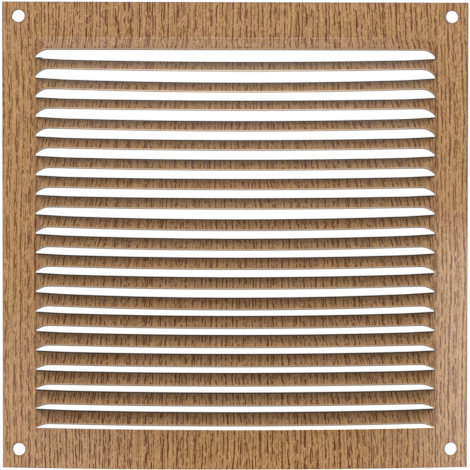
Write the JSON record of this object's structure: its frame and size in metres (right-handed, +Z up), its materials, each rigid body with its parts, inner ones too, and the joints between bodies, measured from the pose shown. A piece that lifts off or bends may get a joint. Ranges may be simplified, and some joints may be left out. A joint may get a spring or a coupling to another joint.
{
  "type": "louvred vent grille",
  "caption": "Square louvred wall vent pressed from one thin wood-effect metal sheet, with rain-shedding slats below a hood strip and a screw hole in each corner.",
  "frame": {"origin": "middle of the four screw holes, on the back face of the sheet", "axes": "+X to the right seen from the front, +Y into the wall, +Z up; the slats stand forward towards -Y"},
  "size_m": [0.2, 0.0082, 0.2011],
  "materials": {
    "printed_sheet": "satin oak-effect print on thin aluminium"
  },
  "bodies": {
    "root": {"louvred_plate": "printed_sheet"}
  },
  "joints": []
}
